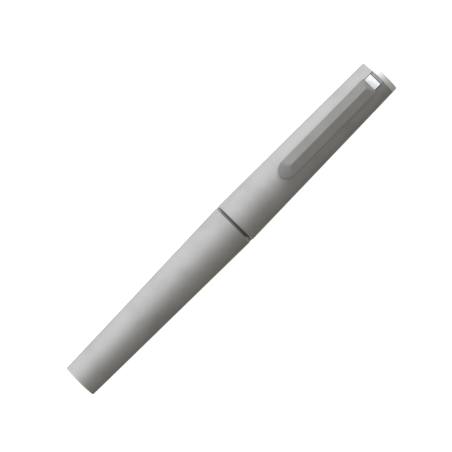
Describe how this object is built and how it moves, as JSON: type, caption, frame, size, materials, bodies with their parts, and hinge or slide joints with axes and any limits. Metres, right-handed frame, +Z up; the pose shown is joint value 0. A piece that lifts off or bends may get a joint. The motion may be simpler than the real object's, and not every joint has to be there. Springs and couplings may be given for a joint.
{
  "type": "technical pen",
  "caption": "Stout capped technical pen with a tapered metal barrel, a trim ring, a tapered cap with a long roof-shaped spring clip and a polished end disc.",
  "frame": {"origin": "under the middle of the capped pen's length, at the lowest point of the cap's lip", "axes": "+X along the pen from the tail to the cap's end disc, +Z up towards the clip, +Y crosswise"},
  "size_m": [0.135, 0.015, 0.0168],
  "materials": {
    "shell": "bead-blasted, anodised silver",
    "trim": "polished",
    "clip": "satin, fine-ground",
    "brass": "turned",
    "section": "fine matte, moulded",
    "rubber": "matte",
    "width_colour": "coloured, semi-gloss",
    "liner": "natural moulded",
    "steel": "turned, fine",
    "cartridge": "translucent",
    "clamp": "coloured, moulded"
  },
  "bodies": {
    "section": {"section_body": "section", "section_o_ring": "rubber", "grip_sleeve": "rubber", "line_width_ring": "width_colour", "nib_collar": "section", "point_body": "steel", "point_tube": "steel", "ink_feed": "section", "weight_plug": "liner"},
    "centre_ring": {"centre_ring": "trim"},
    "barrel": {"barrel_shell": "shell", "tail_plug": "shell", "barrel_bush": "brass"},
    "drop_weight": {"drop_weight": "steel", "cleaning_wire": "steel"},
    "cartridge": {"ink_cartridge": "cartridge", "cartridge_clamp": "clamp"},
    "snap_ring": {"snap_ring": "steel"},
    "cap": {"cap_shell": "shell", "cap_lip_bush": "brass", "inner_cap": "liner", "seal_spring": "steel", "clip_carrier": "shell", "clip_pin": "steel", "clip_spring": "steel", "finial": "trim"},
    "seal_cup": {"seal_cup": "liner", "seal_pad": "rubber"},
    "clip": {"clip_bar": "clip", "clip_lever": "trim", "clip_rivets": "steel"}
  },
  "joints": [
    {"name": "cap_turn", "type": "hinge", "parent": "section", "child": "snap_ring", "pos_m": [0.0061, 0, 0.00749], "axis": [1, 0, 0], "continuous": true},
    {"name": "cap_pull", "type": "slide", "parent": "snap_ring", "child": "cap", "axis": [1, 0, 0], "range_m": [0, 0.06]},
    {"name": "clip_lift", "type": "hinge", "parent": "cap", "child": "clip", "pos_m": [0.06305, 0, 0.01009], "axis": [0, 1, 0], "range_deg": [0, 4], "stiffness_Nm_per_rad": 0.4, "springref_deg": -7.45, "deforming": ["clip_spring"]},
    {"name": "seal_float", "type": "slide", "parent": "cap", "child": "seal_cup", "axis": [1, 0, 0], "range_m": [0, 0.001], "stiffness_N_per_m": 200, "springref_m": -0.002, "deforming": ["seal_spring"]},
    {"name": "wire_drop", "type": "slide", "parent": "section", "child": "drop_weight", "axis": [-1, 0, 0], "range_m": [0, 0.0025]},
    {"name": "barrel_unscrew", "type": "hinge", "parent": "section", "child": "centre_ring", "pos_m": [0.0012, 0, 0.00749], "axis": [-1, 0, 0], "range_deg": [0, 1620]},
    {"name": "barrel_advance", "type": "slide", "parent": "centre_ring", "child": "barrel", "axis": [-1, 0, 0], "range_m": [0, 0.009]},
    {"name": "cartridge_pull", "type": "slide", "parent": "section", "child": "cartridge", "axis": [-1, 0, 0], "range_m": [0, 0.007]}
  ],
  "couplings": [
    {"joint": "barrel_unscrew", "follows": "barrel_advance", "rad_per_m": 3141.6}
  ]
}
